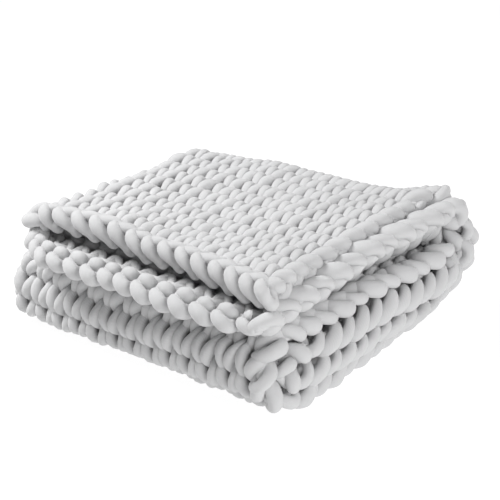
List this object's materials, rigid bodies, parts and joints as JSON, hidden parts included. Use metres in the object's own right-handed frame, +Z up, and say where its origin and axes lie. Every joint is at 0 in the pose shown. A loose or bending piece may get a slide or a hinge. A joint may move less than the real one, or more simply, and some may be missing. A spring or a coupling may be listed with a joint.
{
  "type": "weighted blanket",
  "caption": "Chunky hand-knit weighted blanket lying folded: doubled across its width, then letter-folded along its length, with the open front edge gaping at the crease.",
  "frame": {"origin": "middle of the footprint's box, on the surface the blanket lies on", "axes": "+Z up; +X from the crease to the selvedges; +Y from the open front edge to the rear turn"},
  "size_m": [0.7372, 0.6976, 0.2821],
  "materials": {
    "yarn": "matt cotton jersey tube yarn, light neutral grey"
  },
  "bodies": {
    "root": {"blanket": "yarn"}
  },
  "joints": []
}
